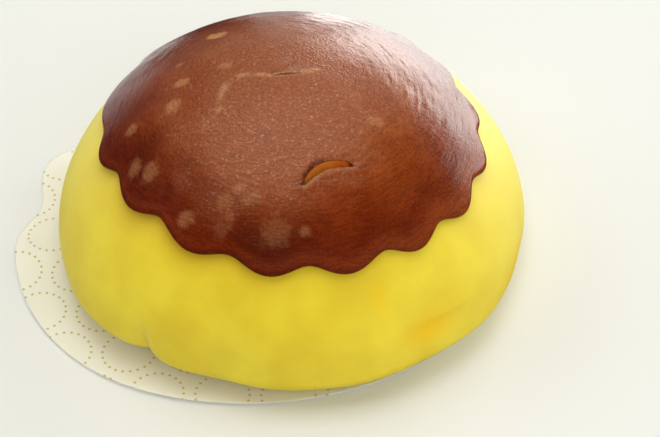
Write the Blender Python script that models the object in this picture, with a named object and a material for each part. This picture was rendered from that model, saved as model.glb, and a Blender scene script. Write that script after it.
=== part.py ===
"""Steamed bun with a scalloped caramel cap, on its round paper liner.

The bun stands on z = 0 with +Z up, its axis is the Z axis and its front faces -Y.
Three solids touch through thin gaps: the paper liner, the dough on it, and the
thin cap of brown dough that lies on the dome and has split in two places.
"""
import math

import bmesh
import bpy
import numpy as np

MM = 0.001

# Dough: a dome on a rounded foot.
WAIST_RADIUS = 48.0 * MM
WAIST_HEIGHT = 8.65 * MM
DOME_RISE = 36.3 * MM
DOME_POWER = 1.85
FOOT_RADIUS = 33.0 * MM
DOUGH_SIDES = 104
DOME_RINGS = 18
FOOT_RINGS = 5

# Uneven places on the dough, each a soft bump or hollow:
# (azimuth in degrees, height, half width in degrees, half height, push outwards).
LEFT_BULGE = (-145.0, 9.0 * MM, 12.0, 11.0 * MM, 1.0 * MM)
BESIDE_TUCK = (-106.0, 9.0 * MM, 9.0, 11.0 * MM, -1.1 * MM)
FRONT_BULGE = (-72.0, 9.0 * MM, 8.0, 11.0 * MM, 0.4 * MM)
RIGHT_BULGE = (-38.0, 9.0 * MM, 10.0, 11.0 * MM, 0.6 * MM)
RIGHT_HOLLOW = (-15.0, 9.0 * MM, 9.0, 11.0 * MM, -0.5 * MM)
BACK_BULGE = (27.0, 9.0 * MM, 12.0, 11.0 * MM, 0.45 * MM)
TUCK = (-126.3, 5.0 * MM, 3.4, 9.0 * MM, -2.2 * MM)
DENT = (-55.0, 13.6 * MM, 5.5, 3.0 * MM, -0.8 * MM)
UNEVEN_PLACES = (
    LEFT_BULGE, BESIDE_TUCK, FRONT_BULGE, RIGHT_BULGE, RIGHT_HOLLOW, BACK_BULGE, TUCK, DENT,
)

# Cap: a disc with a scalloped rim, laid over the dome.
CAP_THICKNESS = 1.5 * MM
LOBE_REACH = 1.6 * MM
NOTCH_SOFTNESS = 0.55
SIDES_PER_LOBE = 8
CAP_TOP_SHARES = (0.14, 0.28, 0.42, 0.55, 0.67, 0.78, 0.88)
CAP_UNDERSIDE_SHARES = (0.88, 0.74, 0.6, 0.46, 0.32, 0.17)
LOBE_FADE_START = 0.6
LIP_ANGLES = (90.0, 50.0, 0.0, -50.0, -90.0)
# Notches of the rim, counter-clockwise: azimuth in degrees and distance from the axis in mm.
RIM_NOTCHES = (
    (-175.5, 36.2), (-154.1, 35.65), (-130.7, 35.9), (-106.2, 37.3),
    (-84.0, 38.0), (-62.3, 38.0), (-42.9, 38.05), (-23.6, 37.6),
    (-4.7, 36.25), (14.8, 33.6), (36.0, 31.8), (58.0, 31.4),
    (81.0, 32.2), (105.0, 33.7), (128.5, 35.0), (151.5, 35.8),
)

# Splits, drawn on the cap's top as seen from above: (left end x, left end y, right end x,
# right end y, bow of front edge, bow of back edge).
WIDE_SPLIT = (3.05 * MM, -26.8 * MM, 12.25 * MM, -22.4 * MM, 0.9 * MM, 2.45 * MM)
SMALL_SPLIT = (-3.5 * MM, -3.1 * MM, 1.4 * MM, -2.35 * MM, -0.1 * MM, 0.35 * MM)
FRONT_EDGE_POWER = 1.3
BACK_EDGE_POWER = 0.55
SPLIT_STEPS = 12
CUTTER_REACH = 4.0 * MM

# Paper liner: a thin disc, flat under the bun, with a wavy rim.
PAPER_THICKNESS = 0.35 * MM
PAPER_RADIUS = 51.0 * MM
PAPER_CENTRE = (-7.5 * MM, 2.7 * MM)
PAPER_INNER_RADIUS = 24.5 * MM
PAPER_SIDES = 96
PAPER_RING_SHARES = (0.0, 0.22, 0.42, 0.6, 0.75, 0.88, 1.0)
# The paper leaves the table where the dough does, and is fully raised a little further out.
RISE_START = FOOT_RADIUS + 2.0 * MM
RISE_END = RISE_START + 14.0 * MM
RIM_LIFT = 0.8 * MM
# Waves of the rim: (waves round the rim, crest azimuth in degrees, height).
RIM_WAVES = ((2, 150.0, 0.25 * MM), (5, -110.0, 0.15 * MM), (9, 12.0, 0.1 * MM))
# A fold on the left draws the rim in and lifts the paper on both sides of it. The rim also comes
# in further round at the back and along the front:
# (azimuth in degrees, half width in degrees, amount).
FOLD_DRAW_IN = (172.5, 9.0, 4.0 * MM)
SIDE_DRAW_IN = (138.0, 12.0, 4.0 * MM)
FRONT_DRAW_IN = (-85.0, 32.0, 2.5 * MM)
FOLD_CREST = (158.0, 8.0, 1.5 * MM)
FOLD_SECOND_CREST = (-171.0, 7.0, 0.9 * MM)

# Clear gap between solids that rest on each other.
GAP = 0.3 * MM
DOUGH_BASE_HEIGHT = PAPER_THICKNESS + GAP


def clear_scene():
    """Remove every object, so that the model starts from nothing."""
    for thing in list(bpy.data.objects):
        bpy.data.objects.remove(thing, do_unlink=True)


def make_material(name, colour, roughness, metallic=0.0):
    """Return a Principled BSDF material with a linear colour."""
    material = bpy.data.materials.new(name)
    material.use_nodes = True
    shader = material.node_tree.nodes["Principled BSDF"]
    shader.inputs["Base Color"].default_value = (*colour, 1.0)
    shader.inputs["Roughness"].default_value = roughness
    shader.inputs["Metallic"].default_value = metallic
    return material


def soft_bump(distance, half_width):
    """Bell curve: 1 at no distance, falling to about a third at half_width."""
    return np.exp(-(distance / half_width) ** 2)


def degrees_apart(azimuth, centre):
    """Angle from centre to azimuth, in degrees between -180 and 180."""
    return (azimuth - centre + 180.0) % 360.0 - 180.0


def smooth_step(value):
    """Ease from 0 to 1 while value goes from 0 to 1."""
    share = np.clip(value, 0.0, 1.0)
    return share * share * (3.0 - 2.0 * share)


def polar(azimuth, radius, height):
    """Points from azimuth in degrees, distance from the axis, and height."""
    angle = np.radians(azimuth)
    return np.stack(np.broadcast_arrays(radius * np.cos(angle), radius * np.sin(angle), height), axis=-1)


def closed_surface(name, first_pole, rings, last_pole, material):
    """Skin rings of points from one pole to the other into a closed, smooth object.

    The rings run counter-clockwise seen from +Z, from the top pole to the bottom one.
    """
    ring_count, sides = rings.shape[:2]
    points = [tuple(first_pole)] + [tuple(p) for p in rings.reshape(-1, 3)] + [tuple(last_pole)]
    last = len(points) - 1
    faces = []
    for side in range(sides):
        following = (side + 1) % sides
        faces.append((0, 1 + side, 1 + following))
        for ring in range(ring_count - 1):
            upper = 1 + ring * sides
            lower = upper + sides
            faces.append((upper + side, lower + side, lower + following, upper + following))
        bottom = 1 + (ring_count - 1) * sides
        faces.append((bottom + following, bottom + side, last))
    mesh = bpy.data.meshes.new(name)
    mesh.from_pydata(points, [], faces)
    mesh.materials.append(material)
    mesh.shade_smooth()
    mesh.set_sharp_from_angle(angle=math.radians(50.0))
    piece = bpy.data.objects.new(name, mesh)
    bpy.context.collection.objects.link(piece)
    return piece


def dome_height(radius):
    """Height of the plain dome at a distance from the axis (a superellipse)."""
    share = np.clip(radius / WAIST_RADIUS, 0.0, 1.0)
    return WAIST_HEIGHT + DOME_RISE * (1.0 - share ** DOME_POWER) ** (1.0 / DOME_POWER)


def dome_normal(azimuth, radius):
    """Unit outward normal of the plain dome."""
    step = 0.01 * MM
    slope = (dome_height(radius + step) - dome_height(np.abs(radius - step))) / (2.0 * step)
    length = np.sqrt(1.0 + slope ** 2)
    return polar(azimuth, -slope / length, 1.0 / length)


def unevenness(azimuth, height):
    """How far the dough stands out from its plain form."""
    push = 0.0
    for centre, level, half_width, half_height, amount in UNEVEN_PLACES:
        across = soft_bump(degrees_apart(azimuth, centre), half_width)
        push = push + amount * across * soft_bump(height - level, half_height)
    return push


def build_dough(material):
    """Dome, rounded foot and flat base, with the dough's bulges, tuck and dent."""
    azimuth = np.arange(DOUGH_SIDES) * 360.0 / DOUGH_SIDES
    climb = np.linspace(math.pi / 2.0, 0.0, DOME_RINGS + 1)[1:]
    radii = list(WAIST_RADIUS * np.cos(climb) ** (2.0 / DOME_POWER))
    heights = list(WAIST_HEIGHT + DOME_RISE * np.sin(climb) ** (2.0 / DOME_POWER))
    for drop in np.linspace(0.0, math.pi / 2.0, FOOT_RINGS + 1)[1:]:
        radii.append(FOOT_RADIUS + (WAIST_RADIUS - FOOT_RADIUS) * math.cos(drop))
        heights.append(WAIST_HEIGHT - (WAIST_HEIGHT - DOUGH_BASE_HEIGHT) * math.sin(drop))
    rings = []
    for radius, height in zip(radii, heights):
        rings.append(polar(azimuth, radius + unevenness(azimuth, height), height))
    top = (0.0, 0.0, WAIST_HEIGHT + DOME_RISE)
    bottom = (0.0, 0.0, DOUGH_BASE_HEIGHT)
    return closed_surface("dough", top, np.array(rings), bottom, material)


def rim_outline():
    """Azimuth, notch radius and lobe reach all round the cap's rim."""
    count = len(RIM_NOTCHES)
    turn = np.arange(count * SIDES_PER_LOBE) / SIDES_PER_LOBE
    azimuths = [notch[0] for notch in RIM_NOTCHES] + [RIM_NOTCHES[0][0] + 360.0]
    radii = [notch[1] * MM for notch in RIM_NOTCHES] + [RIM_NOTCHES[0][1] * MM]
    azimuth = np.interp(turn, range(count + 1), azimuths)
    notch_radius = np.interp(turn, range(count + 1), radii)
    wave = np.sqrt(np.sin(math.pi * turn) ** 2 + NOTCH_SOFTNESS ** 2) - NOTCH_SOFTNESS
    lobe = LOBE_REACH * wave / (math.sqrt(1.0 + NOTCH_SOFTNESS ** 2) - NOTCH_SOFTNESS)
    return azimuth, notch_radius, lobe


def build_cap(material):
    """Thin cap over the dome: top skin, rounded lip and underside."""
    azimuth, notch_radius, lobe = rim_outline()
    lip = CAP_THICKNESS / 2.0
    rings = []

    def add_ring(share, lift):
        radius = share * notch_radius + lobe * smooth_step((share - LOBE_FADE_START) / (1.0 - LOBE_FADE_START))
        rings.append(polar(azimuth, radius, dome_height(radius)) + lift * dome_normal(azimuth, radius))

    for share in CAP_TOP_SHARES:
        add_ring(share, GAP + CAP_THICKNESS)
    for angle in LIP_ANGLES:
        inset = lip * (1.0 - math.cos(math.radians(angle)))
        radius = notch_radius + lobe - inset
        lift = GAP + lip * (1.0 + math.sin(math.radians(angle)))
        rings.append(polar(azimuth, radius, dome_height(radius)) + lift * dome_normal(azimuth, radius))
    for share in CAP_UNDERSIDE_SHARES:
        add_ring(share, GAP)
    apex = WAIST_HEIGHT + DOME_RISE + GAP
    cap = closed_surface(
        "caramel_cap", (0.0, 0.0, apex + CAP_THICKNESS), np.array(rings), (0.0, 0.0, apex), material
    )
    for number, split in enumerate((WIDE_SPLIT, SMALL_SPLIT)):
        cut = cap.modifiers.new(f"split_{number}", "BOOLEAN")
        cut.operation = "DIFFERENCE"
        cut.solver = "EXACT"
        cut.object = build_split_cutter(f"split_cutter_{number}", split)
    return cap


def split_bow(share, power):
    """Outline of a split's edge: 0 at its ends and 1 in the middle, blunter the lower the power."""
    return np.maximum(np.sin(math.pi * share), 0.0) ** power


def build_split_cutter(name, split):
    """Lens-shaped prism that stands across the cap, along the dome's normal."""
    left_x, left_y, right_x, right_y, front_bow, back_bow = split
    left = np.array((left_x, left_y))
    along = np.array((right_x, right_y)) - left
    across = np.array((-along[1], along[0])) / np.hypot(*along)
    middle = left + along / 2.0
    radius = float(np.hypot(*middle))
    normal = dome_normal(math.degrees(math.atan2(middle[1], middle[0])), radius)
    outline = [left]
    for share in np.linspace(0.0, 1.0, SPLIT_STEPS + 1)[1:-1]:
        outline.append(left + share * along + front_bow * split_bow(share, FRONT_EDGE_POWER) * across)
    outline.append(left + along)
    for share in np.linspace(1.0, 0.0, SPLIT_STEPS + 1)[1:-1]:
        outline.append(left + share * along + back_bow * split_bow(share, BACK_EDGE_POWER) * across)
    shape = bmesh.new()
    corners = []
    for x, y in outline:
        top_height = float(dome_height(np.hypot(x, y))) + GAP + CAP_THICKNESS
        foot = np.array((x, y, top_height)) - CUTTER_REACH * normal
        corners.append(shape.verts.new(foot))
    base = shape.faces.new(corners)
    grown = bmesh.ops.extrude_face_region(shape, geom=[base])
    top = [item for item in grown["geom"] if isinstance(item, bmesh.types.BMVert)]
    bmesh.ops.translate(shape, verts=top, vec=tuple(2.0 * CUTTER_REACH * normal))
    bmesh.ops.recalc_face_normals(shape, faces=shape.faces)
    mesh = bpy.data.meshes.new(name)
    shape.to_mesh(mesh)
    shape.free()
    cutter = bpy.data.objects.new(name, mesh)
    cutter.hide_render = True
    cutter.display_type = "WIRE"
    bpy.context.collection.objects.link(cutter)
    return cutter


def build_paper(material):
    """Thin disc, flat under the dough, whose rim rises in low waves and one fold."""
    azimuth = np.arange(PAPER_SIDES) * 360.0 / PAPER_SIDES
    outer = PAPER_RADIUS
    for centre, half_width, amount in (FOLD_DRAW_IN, SIDE_DRAW_IN, FRONT_DRAW_IN):
        outer = outer - amount * soft_bump(degrees_apart(azimuth, centre), half_width)
    lift = RIM_LIFT * np.ones(PAPER_SIDES)
    for count, crest, height in RIM_WAVES:
        lift = lift + height * np.cos(count * np.radians(azimuth - crest))
    for centre, half_width, amount in (FOLD_CREST, FOLD_SECOND_CREST):
        lift = lift + amount * soft_bump(degrees_apart(azimuth, centre), half_width)
    offset = np.array((*PAPER_CENTRE, 0.0))
    top = []
    underside = []
    for share in PAPER_RING_SHARES:
        radius = PAPER_INNER_RADIUS + share * (outer - PAPER_INNER_RADIUS)
        flat = polar(azimuth, radius, 0.0) + offset
        from_axis = np.hypot(flat[:, 0], flat[:, 1])
        rise = lift * smooth_step((from_axis - RISE_START) / (RISE_END - RISE_START))
        raised = flat + polar(0.0, 0.0, rise)
        top.append(raised + (0.0, 0.0, PAPER_THICKNESS))
        underside.append(raised)
    rings = np.array(top + underside[::-1])
    return closed_surface(
        "paper_liner", offset + (0.0, 0.0, PAPER_THICKNESS), rings, tuple(offset), material
    )


def main():
    clear_scene()
    build_dough(make_material("steamed_dough", (0.78, 0.56, 0.06), 0.45))
    build_cap(make_material("caramel_dough", (0.16, 0.035, 0.012), 0.4))
    build_paper(make_material("glassine_paper", (0.85, 0.83, 0.74), 0.5))


main()
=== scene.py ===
"""Looks of the steamed bun: dense surfaces, baked-dough finishes, studio and camera.

The frame is in metres, +Z up, with the bun's axis on Z and its front facing -Y.
"""
import itertools
import math

import bpy
import numpy as np
from mathutils import Matrix, Vector


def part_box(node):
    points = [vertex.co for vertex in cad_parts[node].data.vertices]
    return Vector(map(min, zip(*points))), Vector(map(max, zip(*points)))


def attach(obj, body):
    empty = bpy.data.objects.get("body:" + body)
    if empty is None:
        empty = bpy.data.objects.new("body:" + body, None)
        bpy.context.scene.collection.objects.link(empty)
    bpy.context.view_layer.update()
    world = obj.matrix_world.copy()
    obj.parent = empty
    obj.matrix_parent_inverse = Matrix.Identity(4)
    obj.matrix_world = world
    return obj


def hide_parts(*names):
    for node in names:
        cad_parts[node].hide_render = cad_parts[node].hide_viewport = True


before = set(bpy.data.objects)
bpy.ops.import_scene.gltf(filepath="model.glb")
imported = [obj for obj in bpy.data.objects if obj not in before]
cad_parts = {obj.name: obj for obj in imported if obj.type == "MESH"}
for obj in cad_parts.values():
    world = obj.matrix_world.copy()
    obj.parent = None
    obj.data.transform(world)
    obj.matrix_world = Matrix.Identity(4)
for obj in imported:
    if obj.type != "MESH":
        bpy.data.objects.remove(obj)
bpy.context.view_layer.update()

MM = 0.001

# Form of the dough, the same as the solids have.
DOUGH_LOW, DOUGH_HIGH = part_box("dough")
WAIST_RADIUS = 48.0 * MM
WAIST_HEIGHT = 8.65 * MM
DOME_POWER = 1.85
DOME_RISE = DOUGH_HIGH[2] - WAIST_HEIGHT
FOOT_RADIUS = 33.0 * MM
FOOT_HEIGHT = DOUGH_LOW[2]
DOUGH_SIDES = 460
DOME_RINGS = 132
FOOT_RINGS = 38

# Uneven places on the dough, each a soft bump or hollow:
# (azimuth in degrees, height, half width in degrees, half height, push outwards).
LEFT_BULGE = (-145.0, 9.0 * MM, 12.0, 11.0 * MM, 1.0 * MM)
BESIDE_TUCK = (-106.0, 9.0 * MM, 9.0, 11.0 * MM, -1.1 * MM)
FRONT_BULGE = (-72.0, 9.0 * MM, 8.0, 11.0 * MM, 0.4 * MM)
RIGHT_BULGE = (-38.0, 9.0 * MM, 10.0, 11.0 * MM, 0.6 * MM)
RIGHT_HOLLOW = (-15.0, 9.0 * MM, 9.0, 11.0 * MM, -0.5 * MM)
BACK_BULGE = (27.0, 9.0 * MM, 12.0, 11.0 * MM, 0.45 * MM)
DENT = (-55.0, 13.6 * MM, 5.5, 3.0 * MM, -0.8 * MM)
DENT_BROW = (-48.0, 16.2 * MM, 7.5, 1.2 * MM, 0.4 * MM)
UNEVEN_PLACES = (
    LEFT_BULGE, BESIDE_TUCK, FRONT_BULGE, RIGHT_BULGE, RIGHT_HOLLOW, BACK_BULGE, DENT, DENT_BROW,
)
# The tuck is a crease with a sharp bottom.
TUCK_AZIMUTH = -126.3
TUCK_HALF_WIDTH = 3.0
TUCK_DEPTH = 2.7 * MM
TUCK_TOP = 16.0 * MM
TUCK_FULL = 7.0 * MM

# Faint swell of the dough's skin, as noise: (height, cell, seed). One place on the front right,
# given as above, is rougher. The flat foot has none, and it pushes partly upwards.
BROAD_SWELL = (0.045 * MM, 9.0 * MM, 3)
FINE_SWELL = (0.02 * MM, 1.7 * MM, 4)
ROUGH_SWELL = (0.08 * MM, 3.0 * MM, 5)
ROUGH_PLACE = (-35.0, 20.0 * MM, 40.0, 11.0 * MM)
SWELL_START = 2.0 * MM
SWELL_UPWARDS = 0.6

# Tints of the dough. Orange places: (azimuth, height, half width in degrees, half height, strength).
ORANGE_PLACES = (
    (-55.5, 14.2 * MM, 6.5, 2.8 * MM, 1.0), (-67.0, 22.5 * MM, 2.0, 3.0 * MM, 0.5),
    (-21.0, 9.0 * MM, 9.0, 3.0 * MM, 0.8),
)
# Sides painted paler as a painted sheen where the lamps light them most: (azimuth, half width in
# degrees, strength).
PAINTED_SHEEN_SIDES = ((12.0, 38.0, 1.0), (178.0, 30.0, 0.7))
# Painted shade below the cap's rim, a brown tint where the rim shades the dough, strongest round one
# azimuth: (azimuth, half width in degrees).
RIM_SHADE_SIDE = (-128.0, 38.0)
RIM_SHADE_REACH = 2.2 * MM
RIM_SHADE_LEAST = 0.15
RIM_SHADE_MOST = 0.5

# Form of the cap.
CAP_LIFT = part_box("caramel_cap")[1][2] - DOUGH_HIGH[2]
LIP_LIFT = 0.12 * MM
LOBE_REACH = 1.6 * MM
NOTCH_SOFTNESS = 0.55
LOBE_FADE_START = 0.6
CAP_SIDES_PER_LOBE = 36
CAP_TOP_RINGS = 150
CAP_LIP_RINGS = 11
CAP_UNDER_RINGS = 6
# Notches of the rim, counter-clockwise: azimuth in degrees and distance from the axis in mm.
RIM_NOTCHES = (
    (-175.5, 36.2), (-154.1, 35.65), (-130.7, 35.9), (-106.2, 37.3),
    (-84.0, 38.0), (-62.3, 38.0), (-42.9, 38.05), (-23.6, 37.6),
    (-4.7, 36.25), (14.8, 33.6), (36.0, 31.8), (58.0, 31.4),
    (81.0, 32.2), (105.0, 33.7), (128.5, 35.0), (151.5, 35.8),
)

# Splits, drawn on the cap's top as seen from above: (left end x, left end y, right end x,
# right end y, bow of front edge, bow of back edge).
WIDE_SPLIT = (3.05 * MM, -26.8 * MM, 12.25 * MM, -22.4 * MM, 0.9 * MM, 2.45 * MM)
SMALL_SPLIT = (-3.5 * MM, -3.1 * MM, 1.4 * MM, -2.35 * MM, -0.1 * MM, 0.35 * MM)
SPLITS = (WIDE_SPLIT, SMALL_SPLIT)
FRONT_EDGE_POWER = 1.3
BACK_EDGE_POWER = 0.55
SPLIT_STEPS = 32
CUTTER_REACH = 4.0 * MM
# The skin sinks towards a split and rises in a lip in front of it.
SPLIT_SINK = 0.25 * MM
SPLIT_SINK_WIDTH = 0.35 * MM
LIP_HEIGHTS = (0.2 * MM, 0.05 * MM)
LIP_OFFSET = 0.9 * MM
LIP_HALF_WIDTH = 0.6 * MM
# Half widths of the pale lip and the dark hollow painted along each split.
SPLIT_TINT_WIDTHS = (0.6 * MM, 0.5 * MM)
SHADE_OFFSET = 0.3 * MM
# Torn dough shows in the splits. It swells up into them and is darker at their right end.
DOUGH_SWELL_IN_SPLIT = 1.5 * MM
SPLIT_WALL_SLOPE = 0.5 * MM
TORN_REACH = 1.5 * MM
DARK_END_START = 0.55
DARK_END_FADE = 0.3

# A low folded ridge that runs on from the small split, through these points in mm.
RIDGE = (
    (5.0, -1.3), (1.4, -2.2), (-3.6, -2.7), (-7.6, -2.4), (-10.0, -2.6), (-12.2, -4.0),
    (-13.2, -7.0), (-12.9, -9.6), (-14.6, -11.8), (-16.6, -14.8),
)
RIDGE_HEIGHT = 0.12 * MM
RIDGE_HALF_WIDTH = 0.4 * MM
RIDGE_TINT_HALF_WIDTH = 0.65 * MM
RIDGE_WANDER = 0.35 * MM
RIDGE_WANDER_CELL = 2.0 * MM
RIDGE_PATCHES = (1.3, 1.8 * MM, 25)
RIDGE_FADE_END = -15.5 * MM
RIDGE_FADE = 6.0 * MM

# Relief of the cap's skin, as noise: (height, cell, seed).
CAP_RELIEF = ((0.12 * MM, 8.0 * MM, 11), (0.035 * MM, 2.6 * MM, 12), (0.015 * MM, 0.55 * MM, 15))
RELIEF_SINK = 0.15 * MM
BLISTER_HEIGHT = 0.05 * MM
# Strokes that run round the cap: (spacing, noise cells in a radian, seed). The coarse ones grow
# outwards and are highest round one azimuth: (azimuth, half width in degrees).
FINE_STROKES = (0.42 * MM, 12.0, 19)
FINE_STROKE_HEIGHT = 0.02 * MM
COARSE_STROKES = (0.7 * MM, 9.0, 13)
COARSE_STROKE_HEIGHTS = (0.015 * MM, 0.075 * MM)
COARSE_STROKE_SIDE = (50.0, 60.0)
COARSE_STROKE_START = 8.0 * MM
COARSE_STROKE_FULL = 26.0 * MM
# How far the strokes bend in and out, and the noise cell that bends them.
STROKE_BEND = 1.2 * MM
STROKE_BEND_CELL = 6.0 * MM
# Dry creases that run round the rim, most of them at the back on the right.
CREASE_COUNT = 45
CREASE_SEED = 41
CREASE_AZIMUTHS = (-10.0, 115.0)
CREASE_RADII = (17.0 * MM, 34.0 * MM)
CREASE_HALF_LENGTHS = (0.5 * MM, 1.5 * MM)
CREASE_DEPTHS = (0.02 * MM, 0.09 * MM)
CREASE_HALF_WIDTH = 0.3 * MM

# How far in from the rim the browning pales. It pales sooner on the right, a side of the cap
# given as (azimuth, half width in degrees).
RIGHT_SIDE = (-20.0, 42.0)
BROWN_REACHES = (20.0 * MM, 14.0 * MM)
# Painted glow of light through the rim where the cap is thinnest, making it paler: strength and width,
# first on the left and then on the right.
GLOW_STRENGTHS = (0.2, 0.85)
GLOW_WIDTHS = (0.77 * MM, 2.75 * MM)
# Places near the rim that are browned darkest: (azimuth, half width in degrees, distance in from the
# rim, half depth, how dark).
SCORCHES = (
    (-150.0, 14.0, 4.0 * MM, 5.0 * MM, 0.6), (-96.0, 12.0, 2.0 * MM, 3.5 * MM, 0.95),
    (-118.0, 16.0, 7.0 * MM, 3.5 * MM, 0.3),
)
# Drier, duller ground in the middle, whose paler tint is partly painted sheen: centre and reach of an
# ellipse, and its ragged edge.
DULL_CENTRE = (-3.0 * MM, -7.5 * MM)
DULL_REACH = (20.0 * MM, 24.5 * MM)
DULL_EDGE = (0.15, 4.0 * MM, 17)
# A moister, redder band just outside the ridge on the left: centre and reach of an ellipse.
MOIST_CENTRE = (-18.5 * MM, -3.0 * MM)
MOIST_REACH = (3.5 * MM, 9.0 * MM)
MOIST_STRENGTH = 0.65
# Pale blisters on the cap, left by drops of steam; the paleness of some is a painted highlight on a small
# glossy bump: (x, y, half length, half width) in mm and how pale.
BLISTERS = (
    (-15.1, 15.8, 1.7, 1.4, 1.0), (-21.0, -0.1, 1.4, 1.0, 0.6), (-12.8, 1.6, 1.5, 0.9, 0.45),
    (-22.3, -6.3, 1.3, 1.6, 0.55), (-30.3, -7.9, 1.1, 1.2, 0.35), (-29.1, -17.3, 1.2, 1.5, 0.29),
    (-25.8, -19.6, 1.5, 2.0, 0.29), (-2.1, -34.4, 2.6, 2.2, 0.14), (3.3, -34.3, 1.0, 0.8, 0.2),
    (-8.9, -27.1, 1.4, 1.0, 0.22), (-11.4, -28.6, 1.4, 1.3, 0.18), (-6.4, -29.0, 1.5, 1.0, 0.18),
    (-10.5, -31.6, 0.8, 1.4, 0.13), (-21.9, 6.4, 0.9, 0.7, 0.32), (16.2, -12.2, 1.4, 1.0, 0.28),
    (-18.6, -30.1, 1.4, 1.2, 0.28), (-12.3, -33.3, 1.3, 1.2, 0.1),
)
BLISTER_EDGES = ((0.35, 0.9 * MM, 21), (0.2, 0.45 * MM, 26))
LIP_PATCHES = (0.4, 1.3 * MM, 22)

# Form of the paper liner.
PAPER_THICKNESS = 0.12 * MM
PAPER_RADIUS = 51.0 * MM
PAPER_CENTRE = (-7.5 * MM, 2.7 * MM)
PAPER_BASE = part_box("paper_liner")[0][2] + 0.1 * MM
PAPER_SIDES = 480
PAPER_RINGS = 90
RISE_START = FOOT_RADIUS + 2.0 * MM
RISE_END = RISE_START + 14.0 * MM
RIM_LIFT = 0.8 * MM
RIM_WAVES = ((2, 150.0, 0.25 * MM), (5, -110.0, 0.15 * MM), (9, 12.0, 0.1 * MM))
PAPER_COCKLE = (0.06 * MM, 6.0 * MM, 31)
COCKLE_START = 0.05 * MM
# Places where the edge is drawn in or stands up: (azimuth, half width in degrees, amount).
FOLD_DRAW_IN = (172.5, 9.0, 4.0 * MM)
SIDE_DRAW_IN = (138.0, 12.0, 4.0 * MM)
FRONT_DRAW_IN = (-85.0, 32.0, 2.5 * MM)
FOLD_CREST = (158.0, 8.0, 1.5 * MM)
FOLD_SECOND_CREST = (-171.0, 7.0, 0.9 * MM)

# Print on the liner: rings of dots, whose centres stand in staggered rows.
RING_RADIUS = 5.2 * MM
RING_PITCH = 12.6 * MM
ROW_PITCH = RING_PITCH * math.sqrt(3.0) / 2.0
RING_DOTS = 22
DOT_RADIUS = 0.3 * MM

# Sizes of the grain in the finishes.
DOUGH_BLOTCH = 11.11 * MM
DOUGH_PORE = 0.909 * MM
CAP_BLOTCH = 5.882 * MM
CAP_PIT = 0.4545 * MM
# Size of the pale flecks, painted glints of light on the dry ground.
CAP_GLINT = 0.5263 * MM
# Fine strokes of the cap's finish: spacing, noise cells in a radian, and the size and reach of the
# waver that bends them.
STROKE_SPACING = 0.3 * MM
STROKE_TURNS = 14.0
STROKE_WAVER_SIZE = 6.25 * MM
STROKE_WAVER = 2.5 * MM
# Browns of the cap between two patches, from its rim inwards: (share of the way, darker, paler).
CAP_BROWNS = (
    (0.04, "#541000", "#621800"), (0.5, "#722A04", "#80360C"), (1.0, "#823A0E", "#904A1E"),
)
# Sockets of a Mix node on colours: its share, the colour below, the colour above and the result.
SHARE, BELOW, ABOVE, MIXED = 0, 6, 7, 2

# Camera. Its distance and elevation are chosen, and the rest is fitted to the bun's outline.
CAMERA_DISTANCE = 340.0 * MM
CAMERA_ELEVATION = math.radians(42.5)
CAMERA_ROLL = math.radians(0.25)
CAMERA_TARGET = Vector((7.8 * MM, 0.0, 6.5 * MM))
FOCAL_LENGTH_PX = 1631.0
IMAGE_WIDTH_PX = 660.0
SENSOR_WIDTH_MM = 36.0

# Soft lamps: (name, azimuth, elevation, distance, width, height, radiance, what it gives). One for
# light doesn't show in the gloss, and one for shine shows only there.
LAMPS = (
    ("window", 62.0, 8.0, 1.5, 0.75, 0.5, 8.2, "light"),
    ("window_right", 35.0, 12.0, 1.5, 0.6, 0.5, 3.9, "light"),
    ("ceiling", 100.0, 68.0, 1.5, 1.0, 0.6, 1.2, "light"),
    ("ceiling_right", 55.0, 38.0, 1.5, 0.8, 0.5, 1.25, "light"),
    ("right", 0.0, 35.0, 2.0, 1.2, 1.2, 1.1, "light"),
    ("front", -90.0, 40.0, 2.0, 1.2, 1.2, 2.75, "light"),
    ("left", 180.0, 35.0, 2.0, 1.2, 1.2, 2.1, "light"),
    ("top", 0.0, 88.0, 2.0, 1.2, 1.2, 3.3, "light"),
    ("front_right", -45.0, 25.0, 2.0, 1.2, 1.2, 1.7, "light"),
    ("back_left", 130.0, 35.0, 2.0, 1.2, 1.2, 1.3, "light"),
    ("low_fill", -40.0, 12.0, 2.0, 1.6, 0.6, 1.1, "light"),
    ("pane", 61.0, 10.5, 1.3, 1.0, 0.58, 5.7, "shine"),
    ("pane_right", 30.0, 12.0, 1.3, 0.5, 0.42, 3.6, "shine"),
    ("pane_beside", 91.0, 0.0, 1.3, 0.26, 1.3, 0.7, "shine"),
    ("pane_over", 58.0, 37.0, 1.3, 0.65, 0.48, 0.8, "shine"),
    ("bright_table", 75.0, -13.0, 1.3, 0.65, 0.5, 2.6, "shine"),
    ("table_left", 125.0, -5.0, 1.3, 0.45, 0.3, 0.95, "shine"),
    ("table_behind", 113.0, -22.0, 1.3, 0.4, 0.4, 1.2, "shine"),
    ("far_wall", 118.0, 14.0, 1.3, 0.9, 0.7, 0.2, "shine"),
    ("ceiling_shine", 95.0, 70.5, 1.3, 1.2, 0.75, 1.0, "shine"),
    ("ceiling_spot", 143.0, 69.0, 1.25, 0.5, 0.4, 0.6, "shine"),
)
LAMP_COLOUR = "#FFFDF8"
ROOM_COLOUR = "#F6F6F0"
ROOM_STRENGTH = 0.05
FLOOR_REACH = 3.0

# Corners along each side of the noise lattice before it repeats.
LATTICE = 32


def between(first, last, share):
    """Value that goes from first to last while share goes from 0 to 1."""
    return first + (last - first) * share


def soft_bump(distance, half_width):
    """Bell curve: 1 at no distance, falling to about a third at half_width."""
    return np.exp(-(distance / half_width) ** 2)


def degrees_apart(azimuth, centre):
    """Angle from centre to azimuth, in degrees between -180 and 180."""
    return (azimuth - centre + 180.0) % 360.0 - 180.0


def on_side(azimuth, side):
    """1 on one side of the bun, fading round it: the side is (azimuth, half width in degrees)."""
    return soft_bump(degrees_apart(azimuth, side[0]), side[1])


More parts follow.
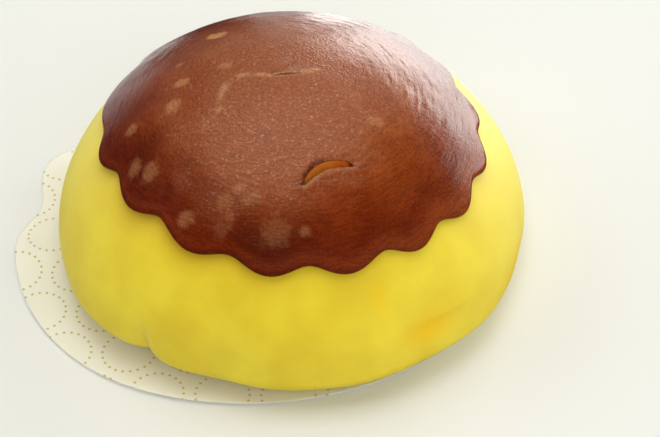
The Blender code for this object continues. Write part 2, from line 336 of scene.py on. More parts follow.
def on_place(azimuth, height, place):
    """1 in the middle of a place on the dough, fading round it: the product of two bell curves.

    The place is (azimuth, height, half width in degrees, half height).
    """
    centre, level, half_width, half_height = place
    return on_side(azimuth, (centre, half_width)) * soft_bump(height - level, half_height)


def smooth_step(value):
    """Ease from 0 to 1 while value goes from 0 to 1."""
    share = np.clip(value, 0.0, 1.0)
    return share * share * (3.0 - 2.0 * share)


def polar(azimuth, radius, height):
    """Points from azimuth in degrees, distance from the axis, and height."""
    angle = np.radians(azimuth)
    return np.stack(np.broadcast_arrays(radius * np.cos(angle), radius * np.sin(angle), height), axis=-1)


def azimuth_and_radius(points):
    """Azimuth in degrees and distance from the axis of each point."""
    azimuth = np.degrees(np.arctan2(points[..., 1], points[..., 0]))
    return azimuth, np.hypot(points[..., 0], points[..., 1])


def from_ellipse(points, centre, reach):
    """Distance of each point from an ellipse's centre, seen from above, that is 1 on the ellipse."""
    return np.hypot((points[..., 0] - centre[0]) / reach[0], (points[..., 1] - centre[1]) / reach[1])


def lattice_noise(points, cell, seed):
    """Random values from -1 to 1 on the corners of a lattice, eased between the eight nearest."""
    table = np.random.default_rng(seed).uniform(-1.0, 1.0, (LATTICE, LATTICE, LATTICE))
    scaled = points / cell
    corner = np.floor(scaled).astype(int)
    share = smooth_step(scaled - corner)
    total = np.zeros(points.shape[:-1])
    for step in itertools.product((0, 1), repeat=3):
        weight = np.prod(np.where(step, share, 1.0 - share), axis=-1)
        index = (corner + step) % LATTICE
        total += weight * table[index[..., 0], index[..., 1], index[..., 2]]
    return total


def noise_layer(points, layer):
    """Noise of a given height: the layer is (height, cell, seed)."""
    height, cell, seed = layer
    return height * lattice_noise(points, cell, seed)


def streak_noise(points, strokes):
    """Noise in streaks that run round the axis: fine in distance from it, coarse in direction."""
    spacing, turns, seed = strokes
    azimuth, radius = azimuth_and_radius(points)
    bend = STROKE_BEND * lattice_noise(points, STROKE_BEND_CELL, seed + 1)
    wound = polar(azimuth, turns, (radius + bend) / spacing)
    return lattice_noise(wound, 1.0, seed)


def dome_height(radius):
    """Height of the plain dome at a distance from the axis (a superellipse)."""
    share = np.clip(radius / WAIST_RADIUS, 0.0, 1.0)
    return WAIST_HEIGHT + DOME_RISE * (1.0 - share ** DOME_POWER) ** (1.0 / DOME_POWER)


def dome_normal(azimuth, radius):
    """Unit outward normal of the plain dome, from its slope over a short step."""
    step = 0.01 * MM
    slope = (dome_height(radius + step) - dome_height(np.abs(radius - step))) / (2.0 * step)
    length = np.sqrt(1.0 + slope ** 2)
    return polar(azimuth, -slope / length, 1.0 / length)


def skin(name, rings, first_pole, last_pole, material):
    """Closed surface: rings of points joined by quads, with a fan of triangles at each pole."""
    count, sides = rings.shape[:2]
    points = np.concatenate([rings.reshape(-1, 3), [first_pole, last_pole]])
    here = np.arange(sides)
    after = (here + 1) % sides
    upper = np.arange(count - 1)[:, None] * sides
    lower = upper + sides
    quads = np.stack([upper + here, lower + here, lower + after, upper + after], axis=-1)
    first = np.stack([np.full(sides, len(points) - 2), here, after], axis=-1)
    bottom = (count - 1) * sides
    last = np.stack([np.full(sides, len(points) - 1), bottom + after, bottom + here], axis=-1)
    mesh = bpy.data.meshes.new(name)
    mesh.from_pydata(points.tolist(), [], quads.reshape(-1, 4).tolist() + first.tolist() + last.tolist())
    mesh.materials.append(material)
    mesh.shade_smooth()
    piece = bpy.data.objects.new(name, mesh)
    bpy.context.collection.objects.link(piece)
    return piece


def mesh_points(piece):
    """The piece's vertices as an array of points."""
    flat = np.empty(len(piece.data.vertices) * 3)
    piece.data.vertices.foreach_get("co", flat)
    return flat.reshape(-1, 3)


def paint_vertices(piece, name, values):
    """Store one number a vertex, for the material to read."""
    layer = piece.data.attributes.new(name, "FLOAT", "POINT")
    layer.data.foreach_set("value", np.ascontiguousarray(values, dtype=np.float32))


def split_bow(share, power):
    """Outline of a split's edge: 0 at its ends and 1 in the middle, blunter the lower the power."""
    return np.maximum(np.sin(math.pi * share), 0.0) ** power


def split_place(split, points):
    """Place of each point by a split: share of its length, distance outside it, and whether in front.

    The split is a lens between two bowed edges. The distance is negative inside.
    """
    left_x, left_y, right_x, right_y, front_bow, back_bow = split
    along = np.array((right_x - left_x, right_y - left_y))
    length = np.hypot(*along)
    along = along / length
    offset = points[..., :2] - (left_x, left_y)
    forward = offset @ along
    sideways = offset @ np.array((-along[1], along[0]))
    share = np.clip(forward / length, 0.0, 1.0)
    behind = sideways - back_bow * split_bow(share, BACK_EDGE_POWER)
    before = front_bow * split_bow(share, FRONT_EDGE_POWER) - sideways
    beyond = np.maximum(np.maximum(-forward, forward - length), 0.0)
    side = np.maximum(behind, before)
    outside = np.where(beyond > 0.0, np.hypot(np.maximum(side, 0.0), beyond), side)
    return share, outside, before > behind


def dough_push(azimuth, height):
    """How far the dough stands out from its plain form: its uneven places less the tuck."""
    push = np.zeros(np.broadcast(azimuth, height).shape)
    for *place, amount in UNEVEN_PLACES:
        push += amount * on_place(azimuth, height, place)
    crease = np.exp(-np.abs(degrees_apart(azimuth, TUCK_AZIMUTH)) / TUCK_HALF_WIDTH)
    fade = smooth_step((TUCK_TOP - height) / (TUCK_TOP - TUCK_FULL))
    return push - TUCK_DEPTH * crease * fade


def dough_tints(azimuth, radius, height):
    """Numbers for the dough's colours: its orange places, painted sheen on its lit sides and painted shade
    under the cap's rim.
    """
    orange = np.zeros(np.broadcast(azimuth, height).shape)
    for *place, strength in ORANGE_PLACES:
        orange = np.maximum(orange, strength * on_place(azimuth, height, place))
    # Painted sheen: the sides that the lamps light most are painted paler.
    paler = np.zeros(orange.shape)
    for centre, half_width, strength in PAINTED_SHEEN_SIDES:
        paler = np.maximum(paler, strength * on_side(azimuth, (centre, half_width)))
    # Painted shade: the dough just below the cap's rim is tinted brown.
    rim_shade = soft_bump(np.maximum(radius - rim_radius(azimuth), 0.0), RIM_SHADE_REACH) * (height > WAIST_HEIGHT)
    rim_shade = rim_shade * between(RIM_SHADE_LEAST, RIM_SHADE_MOST, on_side(azimuth, RIM_SHADE_SIDE))
    return {"orange": orange, "paler": paler, "rim_shade": rim_shade}


def build_dough(material):
    """Dome, rounded foot and flat base: a profile turned round the axis, then pushed in and out.

    The profile is a superellipse above the waist and a quarter of an ellipse below it.
    """
    azimuth = np.arange(DOUGH_SIDES) * 360.0 / DOUGH_SIDES
    climb = np.linspace(math.pi / 2.0, 0.0, DOME_RINGS + 1)[1:]
    drop = np.linspace(0.0, math.pi / 2.0, FOOT_RINGS + 1)[1:]
    radius = np.concatenate([
        WAIST_RADIUS * np.cos(climb) ** (2.0 / DOME_POWER),
        FOOT_RADIUS + (WAIST_RADIUS - FOOT_RADIUS) * np.cos(drop),
    ])[:, None]
    height = np.concatenate([
        WAIST_HEIGHT + DOME_RISE * np.sin(climb) ** (2.0 / DOME_POWER),
        WAIST_HEIGHT - (WAIST_HEIGHT - FOOT_HEIGHT) * np.sin(drop),
    ])[:, None]
    rings = polar(azimuth, radius + dough_push(azimuth, height), height)
    swell = noise_layer(rings, BROAD_SWELL) + noise_layer(rings, FINE_SWELL)
    swell = swell + on_place(azimuth, height, ROUGH_PLACE) * noise_layer(rings, ROUGH_SWELL)
    swell = swell * smooth_step((height - FOOT_HEIGHT) / SWELL_START)
    rings = rings + swell[..., None] * polar(azimuth, 1.0, SWELL_UPWARDS)
    on_dome = height > WAIST_HEIGHT
    above = rings + CAP_LIFT * np.where(on_dome[..., None], dome_normal(azimuth, radius), 0.0)
    torn = np.zeros(rings.shape[:-1])
    dark_end = np.zeros(rings.shape[:-1])
    for split in SPLITS:
        share, outside, _ = split_place(split, above)
        rings[..., 2] += DOUGH_SWELL_IN_SPLIT * smooth_step(0.35 - outside / SPLIT_WALL_SLOPE) * on_dome
        near = (outside < TORN_REACH) & on_dome
        torn = np.where(near, 1.0, torn)
        dark_end = np.where(near, smooth_step((share - DARK_END_START) / DARK_END_FADE), dark_end)
    dough = skin("bun_dough", rings, (0.0, 0.0, DOUGH_HIGH[2]), (0.0, 0.0, FOOT_HEIGHT), material)
    tints = {"torn": torn, "dark_end": dark_end, **dough_tints(azimuth, radius, height)}
    for name, values in tints.items():
        paint_vertices(dough, name, np.append(values, (0.0, 0.0)))
    return dough


def rim_outline():
    """Azimuth, notch distance and lobe reach all round the cap's rim.

    A lobe is a rectified sine between two notches, rounded where it meets the next.
    """
    count = len(RIM_NOTCHES)
    turn = np.arange(count * CAP_SIDES_PER_LOBE) / CAP_SIDES_PER_LOBE
    azimuths = [notch[0] for notch in RIM_NOTCHES] + [RIM_NOTCHES[0][0] + 360.0]
    radii = [notch[1] * MM for notch in RIM_NOTCHES] + [RIM_NOTCHES[0][1] * MM]
    azimuth = np.interp(turn, range(count + 1), azimuths)
    notch_radius = np.interp(turn, range(count + 1), radii)
    wave = np.sqrt(np.sin(math.pi * turn) ** 2 + NOTCH_SOFTNESS ** 2) - NOTCH_SOFTNESS
    lobe = LOBE_REACH * wave / (math.sqrt(1.0 + NOTCH_SOFTNESS ** 2) - NOTCH_SOFTNESS)
    return azimuth, notch_radius, lobe


def rim_radius(azimuth):
    """Distance of the cap's rim from the axis."""
    rim_azimuth, notch_radius, lobe = rim_outline()
    return np.interp(azimuth, rim_azimuth, notch_radius + lobe, period=360.0)


def ridge_distance(points):
    """Distance in plan from each point to the line of the folded ridge, which wanders a little."""
    wander = np.stack([lattice_noise(points, RIDGE_WANDER_CELL, seed) for seed in (23, 24)], axis=-1)
    place = points[..., :2] + RIDGE_WANDER * wander
    nearest = np.full(points.shape[:-1], np.inf)
    for start, end in zip(RIDGE[:-1], RIDGE[1:]):
        start, end = np.array(start) * MM, np.array(end) * MM
        along = end - start
        share = np.clip((place - start) @ along / (along @ along), 0.0, 1.0)
        gap = place - start - share[..., None] * along
        nearest = np.minimum(nearest, np.hypot(gap[..., 0], gap[..., 1]))
    return nearest


def ridge_strength(points):
    """Share of its full height that the ridge has: it comes and goes, and fades at its front end."""
    patches = between(0.2, 0.9, smooth_step(0.5 + noise_layer(points, RIDGE_PATCHES)))
    return patches * smooth_step((points[..., 1] - RIDGE_FADE_END) / RIDGE_FADE)


def dullness(points):
    """How dry and grainy the cap is, and where sheen is painted on: 1 in the middle ellipse, 0 on the
    smoother sides.
    """
    away = from_ellipse(points, DULL_CENTRE, DULL_REACH)
    return smooth_step((1.2 - away + noise_layer(points, DULL_EDGE)) / 0.6)


def creases(points):
    """Depth of the short dry creases: bells that are long round the axis and narrow across it."""
    azimuth, radius = azimuth_and_radius(points)
    draw = np.random.default_rng(CREASE_SEED)
    depth = np.zeros(radius.shape)
    for _ in range(CREASE_COUNT):
        centre = draw.uniform(*CREASE_AZIMUTHS)
        level = draw.uniform(*CREASE_RADII)
        half_length = draw.uniform(*CREASE_HALF_LENGTHS)
        deepest = draw.uniform(*CREASE_DEPTHS)
        along = soft_bump(np.radians(degrees_apart(azimuth, centre)) * radius, half_length)
        depth = np.maximum(depth, deepest * along * soft_bump(radius - level, CREASE_HALF_WIDTH))
    return depth


def cap_relief(points):
    """Height of the cap's relief: waves, grain and strokes, creases, ridge, split lips and blisters."""
    azimuth, radius = azimuth_and_radius(points)
    relief = sum(noise_layer(points, layer) for layer in CAP_RELIEF)
    outwards = smooth_step((radius - COARSE_STROKE_START) / (COARSE_STROKE_FULL - COARSE_STROKE_START))
    coarse = outwards * between(*COARSE_STROKE_HEIGHTS, on_side(azimuth, COARSE_STROKE_SIDE))
    relief = relief + coarse * streak_noise(points, COARSE_STROKES)
    relief = relief + FINE_STROKE_HEIGHT * streak_noise(points, FINE_STROKES) - creases(points)
    ridge = ridge_strength(points) * soft_bump(ridge_distance(points), RIDGE_HALF_WIDTH)
    relief = relief + RIDGE_HEIGHT * ridge
    for split, lip in zip(SPLITS, LIP_HEIGHTS):
        _, outside, in_front = split_place(split, points)
        edge = np.maximum(outside, 0.0)
        relief = relief - SPLIT_SINK * soft_bump(edge, SPLIT_SINK_WIDTH)
        relief = relief + lip * in_front * soft_bump(edge - LIP_OFFSET, LIP_HALF_WIDTH)
    for x, y, half_length, half_width, _ in BLISTERS:
        away = from_ellipse(points / MM, (x, y), (half_length, half_width))
        relief = relief + BLISTER_HEIGHT * soft_bump(away, 0.9)
    return relief - RELIEF_SINK


def build_cap(material):
    """Thin cap over the dome: top skin with relief, rounded lip and underside, then its splits.

    Rings run from the axis to the rim, round the half circle of the lip and back below. Each point
    is lifted from the plain dome along its normal.
    """
    azimuth, notch_radius, lobe = rim_outline()
    lip_centre = (CAP_LIFT + LIP_LIFT) / 2.0
    lip = (CAP_LIFT - LIP_LIFT) / 2.0
    top_share = np.linspace(0.0, 1.0, CAP_TOP_RINGS + 1)[1:, None]
    lip_turn = np.radians(np.linspace(90.0, -90.0, CAP_LIP_RINGS + 1))[1:, None]
    under_share = np.linspace(1.0, 0.0, CAP_UNDER_RINGS + 2)[1:-1, None]
    share = np.concatenate([top_share, under_share])
    radius = share * (notch_radius - lip)
    radius = radius + lobe * smooth_step((share - LOBE_FADE_START) / (1.0 - LOBE_FADE_START))
    lip_radius = notch_radius + lobe - lip * (1.0 - np.cos(lip_turn))
    radius = np.concatenate([radius[:CAP_TOP_RINGS], lip_radius, radius[CAP_TOP_RINGS:]])
    lift = np.concatenate([
        np.full(top_share.shape, CAP_LIFT), lip_centre + lip * np.sin(lip_turn),
        np.full(under_share.shape, LIP_LIFT),
    ])
    facing_up = np.concatenate([
        np.ones(top_share.shape), np.maximum(np.sin(lip_turn), 0.0), np.zeros(under_share.shape),
    ])
    rings = polar(azimuth, radius, dome_height(radius))
    normal = dome_normal(azimuth, radius)
    lift = lift + facing_up * cap_relief(rings + CAP_LIFT * normal)
    rings = rings + lift[..., None] * normal
    apex = DOUGH_HIGH[2] + CAP_LIFT
    apex = apex + float(cap_relief(np.array([[0.0, 0.0, apex]]))[0])
    cap = skin("bun_cap", rings, (0.0, 0.0, apex), (0.0, 0.0, DOUGH_HIGH[2] + LIP_LIFT), material)
    for number, split in enumerate(SPLITS):
        cut_split(cap, f"split_{number}", split)
    paint_cap(cap)
    return cap


def paint_cap(cap):
    """Store the numbers that the cap's colours follow.

    They mark how far in from the rim each point is; the painted glow of light through the thin rim; the
    darkest, the redder and the dry ground, whose paler tint is partly painted sheen; the pale blisters,
    some of them painted highlights on glossy bumps; the ridge and the front lips of the splits; and the
    painted shade in the hollow behind a split.
    """
    points = mesh_points(cap)
    azimuth, radius = azimuth_and_radius(points)
    from_rim = rim_radius(azimuth) - radius
    right = on_side(azimuth, RIGHT_SIDE)
    inwards = np.clip(from_rim / between(*BROWN_REACHES, right), 0.0, 1.0)
    # Painted glow of light through the thin rim.
    painted_rim_glow = between(*GLOW_STRENGTHS, right) * soft_bump(from_rim, between(*GLOW_WIDTHS, right))
    scorch = np.zeros(len(points))
    for centre, half_width, depth, half_depth, darkness in SCORCHES:
        place = on_side(azimuth, (centre, half_width)) * soft_bump(from_rim - depth, half_depth)
        scorch = np.maximum(scorch, darkness * place)
    moist = MOIST_STRENGTH * soft_bump(from_ellipse(points, MOIST_CENTRE, MOIST_REACH), 1.0)
    blister_and_highlight = np.zeros(len(points))
    ragged = sum(noise_layer(points, layer) for layer in BLISTER_EDGES)
    # Pale blisters, some of them painted highlights on glossy bumps.
    for x, y, half_length, half_width, paleness in BLISTERS:
        away = from_ellipse(points / MM, (x, y), (half_length, half_width))
        blister_and_highlight = np.maximum(blister_and_highlight, paleness * smooth_step((1.45 - away + ragged) / 0.9))
    tan_lip = ridge_strength(points) * soft_bump(ridge_distance(points), RIDGE_TINT_HALF_WIDTH)
    patches = 0.75 + noise_layer(points, LIP_PATCHES)
    shade = np.zeros(len(points))
    for split, width in zip(SPLITS, SPLIT_TINT_WIDTHS):
        share, outside, in_front = split_place(split, points)
        edge = np.maximum(outside, 0.0)
        left = smooth_step((0.75 - share) / 0.5)
        lip = in_front * between(0.35, 1.0, left) * patches * soft_bump(edge, width)
        tan_lip = np.maximum(tan_lip, lip)
        shade = np.maximum(shade, left * ~in_front * soft_bump(edge - SHADE_OFFSET, width))
    tints = {
        "inwards": inwards, "painted_rim_glow": painted_rim_glow, "scorch": scorch, "moist": moist, "blister_and_highlight": blister_and_highlight,
        "tan_lip": np.clip(tan_lip, 0.0, 1.0), "shade": shade, "dull_and_sheen": dullness(points),
    }
    for name, values in tints.items():
        paint_vertices(cap, name, values)


def cut_split(cap, name, split):
    """Cut a lens-shaped split through the cap, along the dome's normal."""
    left_x, left_y, right_x, right_y, front_bow, back_bow = split
    left = np.array((left_x, left_y))
    along = np.array((right_x, right_y)) - left
    across = np.array((-along[1], along[0])) / np.hypot(*along)
    middle = left + along / 2.0
    normal = dome_normal(math.degrees(math.atan2(middle[1], middle[0])), float(np.hypot(*middle)))
    share = np.linspace(0.0, 1.0, SPLIT_STEPS + 1)[:, None]
    front = left + share * along + front_bow * split_bow(share, FRONT_EDGE_POWER) * across
    back = left + share * along + back_bow * split_bow(share, BACK_EDGE_POWER) * across
    outline = np.concatenate([front, back[-2:0:-1]])
    foot = np.concatenate([outline, dome_height(np.hypot(*outline.T))[:, None] + CAP_LIFT], axis=1)
    foot = foot - CUTTER_REACH * normal
    points = np.concatenate([foot, foot + 2.0 * CUTTER_REACH * normal])
    count = len(foot)
    here = np.arange(count)
    after = (here + 1) % count
    walls = np.stack([here, after, after + count, here + count], axis=-1).tolist()
    mesh = bpy.data.meshes.new(name)
    mesh.from_pydata(points.tolist(), [], [here[::-1].tolist(), (here + count).tolist()] + walls)
    cutter = bpy.data.objects.new(name, mesh)
    bpy.context.collection.objects.link(cutter)
    cut = cap.modifiers.new(name, "BOOLEAN")
    cut.operation = "DIFFERENCE"
    cut.solver = "MANIFOLD"
    cut.object = cutter
    bpy.context.view_layer.objects.active = cap
    bpy.ops.object.modifier_apply(modifier=name)
    bpy.data.objects.remove(cutter, do_unlink=True)


def build_paper(material):
    """Thin disc, flat under the dough, whose rim rises in low waves and one fold.

    The rise is the lift of the edge, which is a sum of cosines and bells, eased in over a band.
    """
    azimuth = np.arange(PAPER_SIDES) * 360.0 / PAPER_SIDES
    outer = PAPER_RADIUS
    for centre, half_width, amount in (FOLD_DRAW_IN, SIDE_DRAW_IN, FRONT_DRAW_IN):
        outer = outer - amount * on_side(azimuth, (centre, half_width))
    lift = RIM_LIFT * np.ones(len(azimuth))
    for count, crest, height in RIM_WAVES:
        lift = lift + height * np.cos(count * np.radians(azimuth - crest))
    for centre, half_width, amount in (FOLD_CREST, FOLD_SECOND_CREST):
        lift = lift + amount * on_side(azimuth, (centre, half_width))
    share = np.linspace(0.0, 1.0, PAPER_RINGS + 1)[1:, None]
    flat = polar(azimuth, share * outer, 0.0) + (*PAPER_CENTRE, 0.0)
    from_axis = np.hypot(flat[..., 0], flat[..., 1])
    rise = lift * smooth_step((from_axis - RISE_START) / (RISE_END - RISE_START))
    rise = rise + noise_layer(flat, PAPER_COCKLE) * (rise > COCKLE_START)
    raised = flat + polar(0.0, 0.0, rise + PAPER_BASE)
    rings = np.concatenate([raised + (0.0, 0.0, PAPER_THICKNESS), raised[::-1]])
    middle = (*PAPER_CENTRE, PAPER_BASE)
    return skin("bun_paper", rings, (*PAPER_CENTRE, PAPER_BASE + PAPER_THICKNESS), middle, material)


def linear(hex_colour):
    """Linear RGBA from an sRGB hex colour."""
    channels = [int(hex_colour[place:place + 2], 16) / 255.0 for place in (1, 3, 5)]
    return tuple(c / 12.92 if c <= 0.04045 else ((c + 0.055) / 1.055) ** 2.4 for c in channels) + (1.0,)


def add_node(tree, kind, settings, values, links):
    """Add a node: settings are its own properties, values fill its sockets and links feed them."""
    node = tree.nodes.new(kind)
    for name, value in settings.items():
        setattr(node, name, value)
    for socket, value in values.items():
        node.inputs[socket].default_value = value
    for socket, source in links.items():
        tree.links.new(source, node.inputs[socket])
    return node


def new_material(name):
    """A new material, its node tree, its Principled shader and its Object coordinates."""
    material = bpy.data.materials.new(name)
    material.use_nodes = True
    tree = material.node_tree
    place = add_node(tree, "ShaderNodeTexCoord", {}, {}, {}).outputs["Object"]
    return material, tree, tree.nodes["Principled BSDF"], place


def tinted(tree, colour, tints):
    """Lay colours over a colour, each where its painted number is high: (painted name, hex colour)."""
    for name, hex_colour in tints:
        amount = add_node(tree, "ShaderNodeAttribute", {"attribute_name": name}, {}, {}).outputs["Fac"]
        colour = add_node(tree, "ShaderNodeMix", {"data_type": "RGBA"}, {ABOVE: linear(hex_colour)},
                          {SHARE: amount, BELOW: colour}).outputs[MIXED]
    return colour


def steamed_dough():
    """Steamed dough coloured with egg or pumpkin: matt, soft, light enters it a few millimetres.

    Faint blotches and fine pores come from noise, and the tints and the torn crumb are painted.
    """
    material, tree, shader, place = new_material("steamed_yellow_dough")
    blotch = add_node(tree, "ShaderNodeTexNoise", {}, {"Scale": 1.0 / DOUGH_BLOTCH, "Detail": 3.0},
                      {"Vector": place})
    patchy = add_node(tree, "ShaderNodeMapRange", {}, {"From Min": 0.35, "From Max": 0.68},
                      {"Value": blotch.outputs["Fac"]})
    colour = add_node(tree, "ShaderNodeMix", {"data_type": "RGBA"},
                      {BELOW: linear("#E2C82C"), ABOVE: linear("#EEDA3A")},
                      {SHARE: patchy.outputs["Result"]}).outputs[MIXED]
    # The paler tint is painted sheen on the lit sides, and the brown one under the cap's rim is painted
    # shade.
    colour = tinted(tree, colour, (
        ("paler", "#F4E46C"), ("orange", "#F2C60A"), ("rim_shade", "#B47A14"),
        ("torn", "#A85C0C"), ("dark_end", "#A84A08"),
    ))
    tree.links.new(colour, shader.inputs["Base Color"])
    shader.inputs["Roughness"].default_value = 0.5
    shader.inputs["Subsurface Weight"].default_value = 0.25
    shader.inputs["Subsurface Radius"].default_value = (1.0, 0.7, 0.2)
    shader.inputs["Subsurface Scale"].default_value = 2.5 * MM
    shader.inputs["IOR"].default_value = 1.42
    pores = add_node(tree, "ShaderNodeTexNoise", {}, {"Scale": 1.0 / DOUGH_PORE, "Detail": 3.0},
                     {"Vector": place})
    bump = add_node(tree, "ShaderNodeBump", {}, {"Strength": 0.25, "Distance": 0.05 * MM},
                    {"Height": pores.outputs["Fac"]})
    tree.links.new(bump.outputs["Normal"], shader.inputs["Normal"])
    return material


def round_strokes(tree, place):
    """Noise in strokes that run round the axis, read at a direction and a wavering distance from it."""
    flat = add_node(tree, "ShaderNodeVectorMath", {"operation": "MULTIPLY"}, {1: (1.0, 1.0, 0.0)}, {0: place})
    radius = add_node(tree, "ShaderNodeVectorMath", {"operation": "LENGTH"}, {}, {0: flat.outputs[0]})
    waver = add_node(tree, "ShaderNodeTexNoise", {}, {"Scale": 1.0 / STROKE_WAVER_SIZE}, {"Vector": place})
    bent = add_node(tree, "ShaderNodeMath", {"operation": "MULTIPLY_ADD"}, {1: STROKE_WAVER},
                    {0: waver.outputs["Fac"], 2: radius.outputs["Value"]})
    across = add_node(tree, "ShaderNodeMath", {"operation": "DIVIDE"}, {1: STROKE_SPACING},
                      {0: bent.outputs[0]})
    toward = add_node(tree, "ShaderNodeVectorMath", {"operation": "NORMALIZE"}, {}, {0: flat.outputs[0]})
    turned = add_node(tree, "ShaderNodeVectorMath", {"operation": "SCALE"}, {"Scale": STROKE_TURNS},
                      {0: toward.outputs[0]})
    parts = add_node(tree, "ShaderNodeSeparateXYZ", {}, {}, {0: turned.outputs[0]})
    wound = add_node(tree, "ShaderNodeCombineXYZ", {}, {},
                     {0: parts.outputs[0], 1: parts.outputs[1], 2: across.outputs[0]})
    return add_node(tree, "ShaderNodeTexNoise", {}, {"Scale": 1.0, "Detail": 2.0},
                    {"Vector": wound.outputs[0]}).outputs["Fac"]


def caramel_colour(tree, place, grain, dull_and_sheen):
    """Browns that pale from the rim inwards, painted tints, pale flecks on the dry ground as painted glints,
    mottle.
    """
    blotch = add_node(tree, "ShaderNodeTexNoise", {}, {"Scale": 1.0 / CAP_BLOTCH, "Detail": 5.0},
                      {"Vector": place})
    patchy = add_node(tree, "ShaderNodeMapRange", {}, {"From Min": 0.34, "From Max": 0.68},
                      {"Value": blotch.outputs["Fac"]})
    browns = [
        add_node(tree, "ShaderNodeMix", {"data_type": "RGBA"}, {BELOW: linear(darker), ABOVE: linear(paler)},
                 {SHARE: patchy.outputs["Result"]}).outputs[MIXED]
        for _, darker, paler in CAP_BROWNS
    ]
    inwards = add_node(tree, "ShaderNodeAttribute", {"attribute_name": "inwards"}, {}, {})
    colour = browns[0]
    for brown, outer, inner in zip(browns[1:], CAP_BROWNS[:-1], CAP_BROWNS[1:]):
        share = add_node(tree, "ShaderNodeMapRange", {}, {"From Min": outer[0], "From Max": inner[0]},
                         {"Value": inwards.outputs["Fac"]})
        colour = add_node(tree, "ShaderNodeMix", {"data_type": "RGBA"}, {},
                          {SHARE: share.outputs["Result"], BELOW: colour, ABOVE: brown}).outputs[MIXED]
    # Painted light among these tints: the dry ground's paler tint is partly painted sheen, the rim's glow is
    # painted light through its thin edge, some pale blisters are painted highlights, and the shade is painted
    # shade behind the splits.
    colour = tinted(tree, colour, (
        ("dull_and_sheen", "#8F4D29"), ("moist", "#823002"), ("scorch", "#4A1000"), ("painted_rim_glow", "#863C14"),
        ("blister_and_highlight", "#BC8250"), ("shade", "#561C06"), ("tan_lip", "#B07A4E"),
    ))
    # Painted glints: pale pinkish flecks on the dry ground stand in for tiny highlights.
    flecks = add_node(tree, "ShaderNodeTexNoise", {}, {"Scale": 1.0 / CAP_GLINT, "Detail": 1.0},
                      {"Vector": place})
    pale = add_node(tree, "ShaderNodeMapRange", {}, {"From Min": 0.58, "From Max": 0.76, "To Max": 0.34},
                    {"Value": flecks.outputs["Fac"]})
    amount = add_node(tree, "ShaderNodeMath", {"operation": "MULTIPLY"}, {},
                      {0: pale.outputs["Result"], 1: dull_and_sheen})
    colour = add_node(tree, "ShaderNodeMix", {"data_type": "RGBA"}, {ABOVE: linear("#D2A08A")},
                      {SHARE: amount.outputs[0], BELOW: colour}).outputs[MIXED]
    mottle = add_node(tree, "ShaderNodeMapRange", {},
                      {"From Min": 0.8, "From Max": 1.2, "To Min": 0.78, "To Max": 1.24}, {"Value": grain})
    return add_node(tree, "ShaderNodeVectorMath", {"operation": "SCALE"}, {},
                    {0: colour, "Scale": mottle.outputs["Result"]}).outputs[0]


def caramel_skin():
    """Browned dough skin: baked red-brown, with fine strokes and pits and a satin shine.

    The dry ground is a little rougher and its grain stands higher.
    """
    material, tree, shader, place = new_material("browned_caramel_skin")
    pits = add_node(tree, "ShaderNodeTexNoise", {}, {"Scale": 1.0 / CAP_PIT, "Detail": 3.0},
                    {"Vector": place})
    grain = add_node(tree, "ShaderNodeMath", {"operation": "ADD"}, {},
                     {0: round_strokes(tree, place), 1: pits.outputs["Fac"]}).outputs[0]
    dull_and_sheen = add_node(tree, "ShaderNodeAttribute", {"attribute_name": "dull_and_sheen"}, {}, {}).outputs["Fac"]
    tree.links.new(caramel_colour(tree, place, grain, dull_and_sheen), shader.inputs["Base Color"])
    satin = add_node(tree, "ShaderNodeMapRange", {}, {"To Min": 0.22, "To Max": 0.3}, {"Value": dull_and_sheen})
    tree.links.new(satin.outputs["Result"], shader.inputs["Roughness"])
    shader.inputs["IOR"].default_value = 1.46
    coarseness = add_node(tree, "ShaderNodeMapRange", {}, {"To Min": 0.5, "To Max": 1.0}, {"Value": dull_and_sheen})
    height = add_node(tree, "ShaderNodeMath", {"operation": "MULTIPLY"}, {},
                      {0: grain, 1: coarseness.outputs["Result"]})
    bump = add_node(tree, "ShaderNodeBump", {}, {"Strength": 1.0, "Distance": 0.09 * MM},
                    {"Height": height.outputs[0]})
    tree.links.new(bump.outputs["Normal"], shader.inputs["Normal"])
    return material


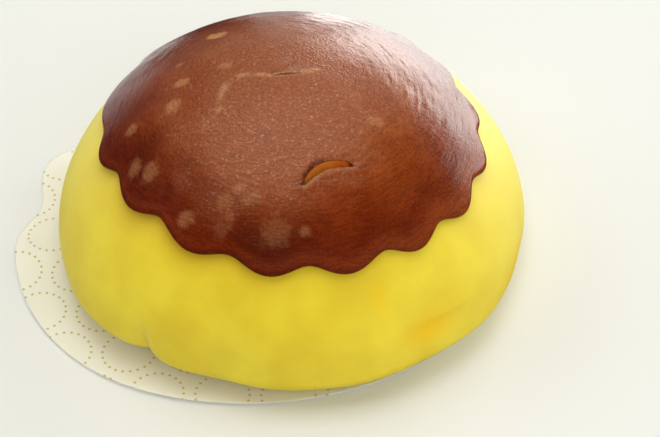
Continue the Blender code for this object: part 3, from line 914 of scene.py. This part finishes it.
def dotted_rings(tree, place, shift_x, shift_y):
    """1 on the dots of a grid of rings: each point is wrapped into its ring's cell, then its angle
    round the ring is wrapped into its dot's share of the turn."""
    flat = add_node(tree, "ShaderNodeVectorMath", {"operation": "MULTIPLY_ADD"},
                    {1: (1.0, 1.0, 0.0), 2: (shift_x, shift_y, 0.0)}, {0: place})
    corner = (RING_PITCH / 2.0, ROW_PITCH, 1.0)
    cell = add_node(tree, "ShaderNodeVectorMath", {"operation": "WRAP"},
                    {1: corner, 2: tuple(-size for size in corner)}, {0: flat.outputs[0]})
    parts = add_node(tree, "ShaderNodeSeparateXYZ", {}, {}, {0: cell.outputs[0]})
    angle = add_node(tree, "ShaderNodeMath", {"operation": "ARCTAN2"}, {},
                     {0: parts.outputs[1], 1: parts.outputs[0]})
    dot_angle = math.tau / RING_DOTS
    beside = add_node(tree, "ShaderNodeMath", {"operation": "WRAP"},
                      {1: dot_angle / 2.0, 2: -dot_angle / 2.0}, {0: angle.outputs[0]})
    along = add_node(tree, "ShaderNodeMath", {"operation": "MULTIPLY"}, {1: RING_RADIUS},
                     {0: beside.outputs[0]})
    away = add_node(tree, "ShaderNodeVectorMath", {"operation": "LENGTH"}, {}, {0: cell.outputs[0]})
    across = add_node(tree, "ShaderNodeMath", {"operation": "SUBTRACT"}, {1: RING_RADIUS},
                      {0: away.outputs["Value"]})
    offset = add_node(tree, "ShaderNodeCombineXYZ", {}, {}, {0: along.outputs[0], 1: across.outputs[0]})
    reach = add_node(tree, "ShaderNodeVectorMath", {"operation": "LENGTH"}, {}, {0: offset.outputs[0]})
    edge = {"From Min": 0.75 * DOT_RADIUS, "From Max": 1.15 * DOT_RADIUS, "To Min": 1.0, "To Max": 0.0}
    return add_node(tree, "ShaderNodeMapRange", {}, edge, {"Value": reach.outputs["Value"]}).outputs["Result"]


def glassine_paper():
    """Glassine: thin, smooth, greaseproof paper that lets light through, printed in pale gold."""
    material, tree, shader, place = new_material("printed_glassine")
    ink = add_node(tree, "ShaderNodeMath", {"operation": "MAXIMUM"}, {}, {
        0: dotted_rings(tree, place, 0.0, 0.0), 1: dotted_rings(tree, place, RING_PITCH / 2.0, ROW_PITCH),
    })
    colour = add_node(tree, "ShaderNodeMix", {"data_type": "RGBA"},
                      {BELOW: linear("#FEFCEE"), ABOVE: linear("#D2C478")}, {SHARE: ink.outputs[0]})
    tree.links.new(colour.outputs[MIXED], shader.inputs["Base Color"])
    shader.inputs["Roughness"].default_value = 0.45
    shader.inputs["Alpha"].default_value = 0.62
    return material


def build_stage():
    """Pale floor, far larger than the view."""
    material, _, shader, _ = new_material("pale_floor")
    shader.inputs["Base Color"].default_value = linear("#E7E9E6")
    shader.inputs["Roughness"].default_value = 0.8
    corners = [(x * FLOOR_REACH, y * FLOOR_REACH, 0.0) for x, y in ((-1, -1), (1, -1), (1, 1), (-1, 1))]
    mesh = bpy.data.meshes.new("floor")
    mesh.from_pydata(corners, [], [(0, 1, 2, 3)])
    mesh.materials.append(material)
    floor = bpy.data.objects.new("floor", mesh)
    bpy.context.collection.objects.link(floor)
    floor.visible_glossy = False
    floor.visible_shadow = False


def build_light():
    """Soft rectangular lamps on spheres round the bun, aimed at it, in a dim pale room."""
    for name, azimuth, elevation, distance, width, height, radiance, gives in LAMPS:
        lamp = bpy.data.lights.new(name, "AREA")
        lamp.shape = "RECTANGLE"
        lamp.size = width
        lamp.size_y = height
        lamp.energy = radiance * math.pi * width * height
        lamp.color = linear(LAMP_COLOUR)[:3]
        light = bpy.data.objects.new(name, lamp)
        turn, tilt = math.radians(azimuth), math.radians(elevation)
        out = Vector((math.cos(turn) * math.cos(tilt), math.sin(turn) * math.cos(tilt), math.sin(tilt)))
        light.location = distance * out
        light.rotation_euler = out.to_track_quat("Z", "Y").to_euler()
        light.visible_diffuse = gives == "light"
        light.visible_glossy = gives == "shine"
        bpy.context.collection.objects.link(light)
    world = bpy.data.worlds.new("dim_pale_room")
    world.use_nodes = True
    backdrop = world.node_tree.nodes["Background"]
    backdrop.inputs["Color"].default_value = linear(ROOM_COLOUR)
    backdrop.inputs["Strength"].default_value = ROOM_STRENGTH
    bpy.context.scene.world = world
    bpy.context.scene.view_settings.view_transform = "Standard"


def build_camera():
    """Camera on the front, looking down at the chosen elevation, with the photo's framing."""
    lens = bpy.data.cameras.new("camera")
    lens.sensor_width = SENSOR_WIDTH_MM
    lens.lens = FOCAL_LENGTH_PX / IMAGE_WIDTH_PX * SENSOR_WIDTH_MM
    lens.clip_start = 0.01
    camera = bpy.data.objects.new("camera", lens)
    back = Vector((0.0, -math.cos(CAMERA_ELEVATION), math.sin(CAMERA_ELEVATION)))
    turn = back.to_track_quat("Z", "Y").to_matrix().to_4x4() @ Matrix.Rotation(CAMERA_ROLL, 4, "Z")
    camera.matrix_world = Matrix.Translation(CAMERA_TARGET + CAMERA_DISTANCE * back) @ turn
    bpy.context.collection.objects.link(camera)
    bpy.context.scene.camera = camera


def main():
    """Set up the studio, build the three pieces and let each stand for its solid."""
    build_camera()
    build_stage()
    build_light()
    dressing = (
        (build_dough(steamed_dough()), "dough"),
        (build_cap(caramel_skin()), "caramel_cap"),
        (build_paper(glassine_paper()), "paper_liner"),
    )
    for piece, node in dressing:
        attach(piece, "root")
        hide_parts(node)


main()
